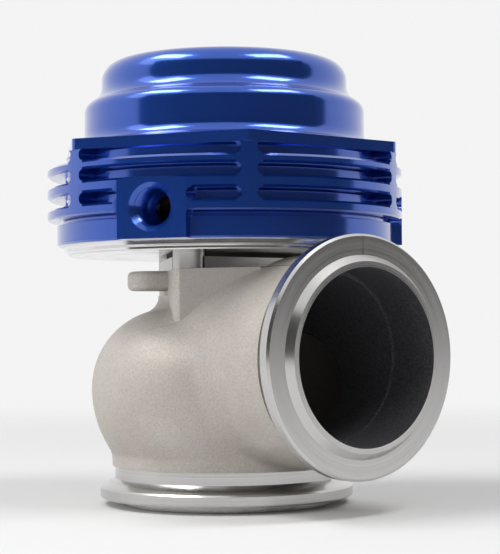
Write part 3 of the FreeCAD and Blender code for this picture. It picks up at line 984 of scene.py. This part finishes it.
@dataclass(frozen=True)
class CastSkin:
    """Outer skin of the casting, with the soft hollow where the duct leaves the bulb.

    Sizes are in millimetres and follow the body, which the skin covers.

    Attributes:
        neck_r, neck_low, neck_high: radius, foot and top of the inlet neck.
        belly_r, belly_z: largest radius of the bulb, and its height.
        low_r, high_r: radii of the bulb's arcs under and over the belly.
        crown_z: top of the bulb.
        crown_drop, lid_in: how far below it and outside its edge the upper arc ends.
        duct_r, duct_end_r: radius of the duct at the stem and at the outlet.
        duct_z, outlet_z, outlet_x: heights of its axis there, and where it ends.
        run_back: how far the duct runs back past the stem.
        neck_side: distance from the stem at which its back is trimmed.
        turned_x, milled_z: where the machined faces start.
        proud, inset: how far the skin lies over the body, and back from a machined edge.
        spare: length of neck that is trimmed off again.
        cell: size of the joined skin's faces.
        blend, last: reach and number of the smoothing passes, and number of those over all.
    """

    neck_r: float = 26.4
    neck_low: float = 8.8
    neck_high: float = 11.8
    belly_r: float = 31.2
    belly_z: float = 26.8
    low_r: float = 26.0
    high_r: float = 18.2
    crown_z: float = 47.6
    crown_drop: float = 2.5
    lid_in: float = 3.5
    duct_r: float = 23.4
    duct_end_r: float = 23.1
    duct_z: float = 31.0
    outlet_z: float = 34.0
    outlet_x: float = 45.2
    run_back: float = 9.0
    neck_side: float = 12.8
    turned_x: float = 41.2
    milled_z: float = 53.5
    proud: float = 0.14
    spare: float = 3.0
    cell: float = 0.5
    blend: tuple[tuple[float, int], ...] = ((7.0, 14), (5.0, 30), (3.5, 30))
    last: int = 2
    inset: float = 0.02

    def _axis(self) -> tuple[Vector, Vector]:
        """Finds where the duct's axis starts, in millimetres, and the unit vector along it."""
        start = Vector((0.0, 0.0, self.duct_z))
        way = (Vector((self.outlet_x, 0.0, self.outlet_z)) - start).normalized()
        return start - way * self.run_back, way

    def _bulb(self, bm: BMesh) -> None:
        """Spins the closed bulb."""
        extra = self.proud
        low = bm.verts.new((self.neck_r + extra, 0.0, self.neck_low - self.spare))
        corner = bm.verts.new((self.neck_r + extra, 0.0, self.neck_high))
        bm.edges.new((low, corner))
        under = Vector((self.belly_r - self.low_r, 0.0, self.belly_z))
        over = Vector((self.belly_r - self.high_r, 0.0, self.belly_z))
        reach = self.low_r + extra
        dip = math.asin((self.belly_z - self.neck_high) / reach)
        start = bm.verts.new(under + Vector((reach * math.cos(dip), 0.0, -reach * math.sin(dip))))
        bm.edges.new((corner, start))
        belly = arc(bm, start, under, dip, steps=24)
        rise = math.asin(min((self.crown_z - self.crown_drop - self.belly_z) / (self.high_r + extra), 1.0))
        crown = arc(bm, belly, over, rise, steps=24)
        lid = bm.verts.new((crown.co.x - self.lid_in, 0.0, self.crown_z))
        bm.edges.new((crown, lid))
        ends = [bm.verts.new((0.0, 0.0, low.co.z)), bm.verts.new((0.0, 0.0, self.crown_z))]
        bm.edges.new((ends[0], low))
        bm.edges.new((lid, ends[1]))
        revolve(bm, UP, steps=96)
        bmesh.ops.remove_doubles(bm, verts=bm.verts[:], dist=0.001)

    def _duct(self, bm: BMesh) -> None:
        """Adds the closed duct, trimmed to the sides of the neck."""
        start, way = self._axis()
        length = (Vector((self.outlet_x, 0.0, self.outlet_z)) - start).length
        turn = way.to_track_quat("Z", "Y").to_matrix().to_4x4()
        duct = bmesh.new()
        bmesh.ops.create_cone(
            duct, cap_ends=True, segments=128, radius1=self.duct_r + self.proud,
            radius2=self.duct_end_r + self.proud, depth=length,
            matrix=Matrix.Translation(start + way * (length / 2)) @ turn)
        for side in (-1.0, 1.0):    # the neck's sides face 120 degrees away from the outlet
            normal = Vector((-0.5, side * math.sqrt(0.75), 0.0))
            bmesh.ops.edgenet_fill(duct, edges=cut_away(duct, normal * self.neck_side, normal))
        bmesh.ops.recalc_face_normals(duct, faces=duct.faces[:])
        pour(bm, duct)

    def _near(self, spot: Vector) -> float:
        """Finds the larger of a point's distances, in millimetres, to the duct and the bulb."""
        start, way = self._axis()
        arm = spot - start
        along = arm.dot(way)
        to_duct = abs((arm - way * along).length - self.duct_r)
        radius = math.hypot(spot.x, spot.y)
        if spot.z < self.neck_high:
            to_bulb = abs(radius - self.neck_r)
        else:
            arc_r = self.low_r if spot.z < self.belly_z else self.high_r
            to_bulb = abs(math.hypot(radius - self.belly_r + arc_r, spot.z - self.belly_z) - arc_r)
        return max(to_duct, to_bulb)

    def _soften(self, bm: BMesh) -> None:
        """Rounds the line where duct and bulb meet."""
        far = {v: self._near(v.co) for v in bm.verts}
        zones = [
            ([v for v, distance in far.items() if distance < reach], times) for reach, times in self.blend]
        for verts, times in zones + [(bm.verts[:], self.last)]:
            for _ in range(times):
                bmesh.ops.smooth_vert(
                    bm, verts=verts, factor=0.5, use_axis_x=True, use_axis_y=True, use_axis_z=True)

    def build(self) -> Object:
        """Joins bulb and duct, softens the line between them and trims the ends.

        Returns:
            The finished piece.
        """
        bm = bmesh.new()
        self._bulb(bm)
        bmesh.ops.recalc_face_normals(bm, faces=bm.faces[:])
        self._duct(bm)
        raw = linked("raw_skin", as_mesh("raw_skin", bm))
        joiner = raw.modifiers.new("join", "REMESH")
        joiner.mode = "VOXEL"
        joiner.voxel_size = self.cell
        joined = bpy.data.meshes.new_from_object(raw.evaluated_get(bpy.context.evaluated_depsgraph_get()))
        bm = bmesh.new()
        bm.from_mesh(joined)
        for used in (raw.data, joined):     # the raw object goes with its mesh
            bpy.data.meshes.remove(used)
        self._soften(bm)
        cut_away(bm, UP * (self.neck_low + self.inset), -UP)
        cut_away(bm, ALONG * (self.turned_x - self.inset), ALONG)
        cut_away(bm, UP * self.milled_z, UP)
        return finished("cast_skin", bm, crease=180.0)


@dataclass(frozen=True)
class CapRoots:
    """Hollow rings at the foot of the cap's two walls, in millimetres.

    Attributes:
        crown_r, step_r: radii of the upper and the lower wall.
        step_z, flange_z: heights of the ledge between them and of the flange's top.
        shoulder_r: radius of the ledge's rounded edge.
        upper_r, lower_r: radii of the hollows.
        proud, sunk: how far a ring lies over the wall, and inside it.
        steps, segments: edges along a hollow, and faces round the cap.
    """

    crown_r: float = 28.7
    step_r: float = 32.7
    step_z: float = 93.1
    shoulder_r: float = 2.8
    flange_z: float = 82.0
    upper_r: float = 4.0
    lower_r: float = 3.3
    proud: float = 0.02
    sunk: float = 0.7
    steps: int = 20
    segments: int = 192

    def _ring(self, bm: BMesh, centre: Vector, radius: float, angle: float, low: float) -> None:
        """Spins one hollow ring: an arc that runs down from level by an angle, over a hidden underside."""
        top = bm.verts.new(centre - Vector((radius - self.proud, 0.0, 0.0)))
        foot = arc(bm, top, centre, angle, self.steps)
        hidden = [
            bm.verts.new((foot.co.x, 0.0, low)),
            bm.verts.new((top.co.x - self.sunk, 0.0, low)),
            bm.verts.new((top.co.x - self.sunk, 0.0, top.co.z)),
        ]
        for first, second in zip([foot] + hidden, hidden + [top]):
            bm.edges.new((first, second))
        revolve(bm, UP, self.segments)
        bmesh.ops.recalc_face_normals(bm, faces=bm.faces[:])

    def build(self) -> Object:
        """Makes both rings as one piece.

        Returns:
            The finished piece.
        """
        bm = bmesh.new()
        across = self.crown_r + self.upper_r - (self.step_r - self.shoulder_r)
        rise = math.sqrt((self.upper_r + self.shoulder_r) ** 2 - across ** 2)
        upper = Vector((self.crown_r + self.upper_r, 0.0, self.step_z - self.shoulder_r + rise))
        lower = Vector((self.step_r + self.lower_r, 0.0, self.flange_z + self.lower_r))
        rings = (
            (upper, self.upper_r, math.atan2(rise, across), self.step_z - self.sunk),
            (lower, self.lower_r, math.radians(90.0), self.flange_z - self.sunk),
        )
        for centre, radius, angle, low in rings:
            ring = bmesh.new()
            self._ring(ring, centre, radius, angle, low)
            pour(bm, ring)
        return finished("cap_roots", bm)


@dataclass(frozen=True)
class PortThread:
    """Pipe thread in one port of the housing, in millimetres.

    Attributes:
        name: the piece's name.
        angle: direction of the port from the outlet, in degrees.
        height, mouth: height of the port's axis, and distance of its mouth from the stem.
        bore_r: radius of the port.
        turns, pitch, crest: number, distance and height of the ridges.
        land: half the width of a ridge's top, as a share of the pitch.
        wall, proud: thickness of the threaded sleeve, and how far it stands into the bore.
        segments: faces round the port.
    """

    name: str
    angle: float
    height: float = 66.1
    mouth: float = 39.4
    bore_r: float = 4.35
    pitch: float = 0.94
    crest: float = 0.38
    land: float = 0.05
    turns: int = 6
    wall: float = 0.5
    proud: float = 0.02
    segments: int = 64

    def build(self) -> Object:
        """Makes the thread as a run of sharp ridges.

        Returns:
            The finished piece.
        """
        bm = bmesh.new()
        root = self.bore_r - self.proud
        spots = []
        for ridge in range(self.turns):
            start = self.mouth - ridge * self.pitch
            spots.append((start, root))
            for share in (0.5 - self.land, 0.5 + self.land):
                spots.append((start - share * self.pitch, root - self.crest))
        end = self.mouth - self.turns * self.pitch
        spots += [(end, root), (end, root + self.wall), (self.mouth, root + self.wall)]
        verts = [bm.verts.new((x, 0.0, r)) for x, r in spots]
        for first, second in zip(verts, verts[1:] + verts[:1]):
            bm.edges.new((first, second))
        revolve(bm, ALONG, self.segments)
        bmesh.ops.recalc_face_normals(bm, faces=bm.faces[:])
        turn = Matrix.Rotation(math.radians(self.angle), 4, "Z")
        bmesh.ops.transform(bm, matrix=turn @ Matrix.Translation(UP * self.height), verts=bm.verts[:])
        return finished(self.name, bm, smooth=False)


@dataclass(frozen=True)
class LivePiece:
    """A soft CAD node shown by a copy.

    Attributes:
        node, slot: the CAD node that it stands for, and the name of its finish, which is not used.
        fixed, moving: heights of the end that stays still and of the one that the valve carries; neither is
            used.
        bends: whether the copy keeps its place with its transform baked in, and otherwise it rides on the
            housing.
        lift: travel of the valve, which is not used.
    """

    node: str
    slot: str
    fixed: float
    moving: float
    bends: bool = False
    lift: float = 9.5 * MM

    def build(self) -> Object:
        """Makes the copy, hides the CAD node, and sets the copy on the housing unless bends is set.

        Returns:
            The finished piece.
        """
        piece = linked(self.node + "_live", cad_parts[self.node].data.copy())
        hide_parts(self.node)
        if self.bends:
            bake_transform(piece)
        else:
            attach(piece, "housing")
            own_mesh(piece)
        log.info("%s stands for %s", piece.name, self.node)
        return piece


def live_pieces() -> list[LivePiece]:
    """The three springs and the diaphragm."""
    spring, rubber = (
        [v.co.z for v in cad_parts[node].data.vertices] for node in ("outer_spring", "diaphragm"))
    springs = [
        LivePiece(f"{place}_spring", "spring_steel", max(spring), min(spring))
        for place in ("outer", "middle", "inner")]
    return springs + [LivePiece("diaphragm", "diaphragm_rubber", BEAD_Z, min(rubber), bends=True)]


def finished(name: str, bm: BMesh, smooth: bool = True, crease: float = 35.0) -> Object:
    """Turns a mesh in millimetres into a piece that rides on the housing.

    Args:
        name: the piece's name.
        bm: its shape, which is freed.
        smooth: whether its faces are shaded smooth.
        crease: angle in degrees from which a smooth piece shows a sharp edge.

    Returns:
        The piece.
    """
    bmesh.ops.scale(bm, vec=(MM, MM, MM), verts=bm.verts[:])
    for face in bm.faces:
        face.smooth = smooth
    for edge in bm.edges:
        if smooth and edge.is_manifold:
            edge.smooth = edge.calc_face_angle() < math.radians(crease)
    piece = linked(name, as_mesh(name, bm))
    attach(piece, "housing")
    log.info("%s: %d faces", name, len(piece.data.polygons))
    return piece


CAST = CastBody("cast_steel", (0.52, 0.487, 0.452), 0.50, 0.55)
SEAT = Turned("seat_steel", (0.58, 0.57, 0.56), 0.22)
VALVE = Turned("valve_steel", (0.42, 0.40, 0.39), 0.32)
BRONZE = Turned("bronze", (0.62, 0.42, 0.22), 0.28)
STEEL = Plain("satin_steel", (0.56, 0.55, 0.53), 0.32, 1.0, depth=0.000006, shift=0.08)
BARE = Turned("turned_aluminium", (0.86, 0.86, 0.87), 0.12, pitch=0.0005, depth=0.000004)
PLAIN_ALLOY = Turned("plain_aluminium", (0.78, 0.79, 0.80), 0.3)
ZINC = Turned("zinc_steel", (0.74, 0.73, 0.68), 0.26)
SCREW = Plain("screw_steel", (0.06, 0.06, 0.065), 0.34, 0.9, depth=0.000008)
SPRING = Plain("spring_steel", (0.30, 0.30, 0.32), 0.32, 1.0, depth=0.000008)
GASKET = Plain("gasket", (0.085, 0.078, 0.068), 0.7, 0.0)
SEAL = Plain("seal_rubber", (0.012, 0.012, 0.012), 0.55, 0.0)
RUBBER = Plain("diaphragm_rubber", (0.085, 0.028, 0.018), 0.6, 0.0, grain=0.0008, depth=0.00006)
BLUE = Anodised("blue_anodised", (0.010, 0.080, 0.46), 0.17, 0.80, deep=(0.006, 0.052, 0.38), coat=0.9)


def assemblies() -> list[SubAssembly]:
    """The object's groups of nodes."""
    return [
        SubAssembly("body", {
            "valve_body": CAST, "valve_seat": SEAT, "valve_guide": BRONZE, "guide_seal": STEEL,
            "insulator_plate": STEEL, "neck_gasket": GASKET, "standoffs": STEEL, "neck_screws": SCREW,
        }),
        SubAssembly("housing", {
            "base_plate": BARE, "base_seal": SEAL, "lower_housing": BLUE, "stem_bush": BRONZE,
            "stem_seal": SEAL, "cap_screws": SCREW, "top_cap": BLUE,
        }),
        SubAssembly("actuator", {
            "valve": VALVE, "diaphragm": RUBBER, "support_washer": PLAIN_ALLOY, "piston_cup": PLAIN_ALLOY,
            "spring_seat": PLAIN_ALLOY, "stem_washer": ZINC, "stem_nut": ZINC,
            "outer_spring": SPRING, "middle_spring": SPRING, "inner_spring": SPRING,
        }),
    ]


def main() -> None:
    """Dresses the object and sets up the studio."""
    logging.basicConfig(level=logging.INFO, format="%(message)s")
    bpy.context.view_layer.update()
    effects = Effects()
    made: dict[str, Material] = {}
    for assembly in assemblies():
        assembly.dress(effects, made)
    CastSkin().build().data.materials.append(made["cast_steel"])
    for piece in (CapRoots(), PortThread("lower_thread", -60.0), PortThread("upper_thread", 60.0)):
        piece.build().data.materials.append(made["blue_anodised"])
    for live in live_pieces():
        live.build()
    Studio().set_up()


if __name__ == "__main__":
    main()
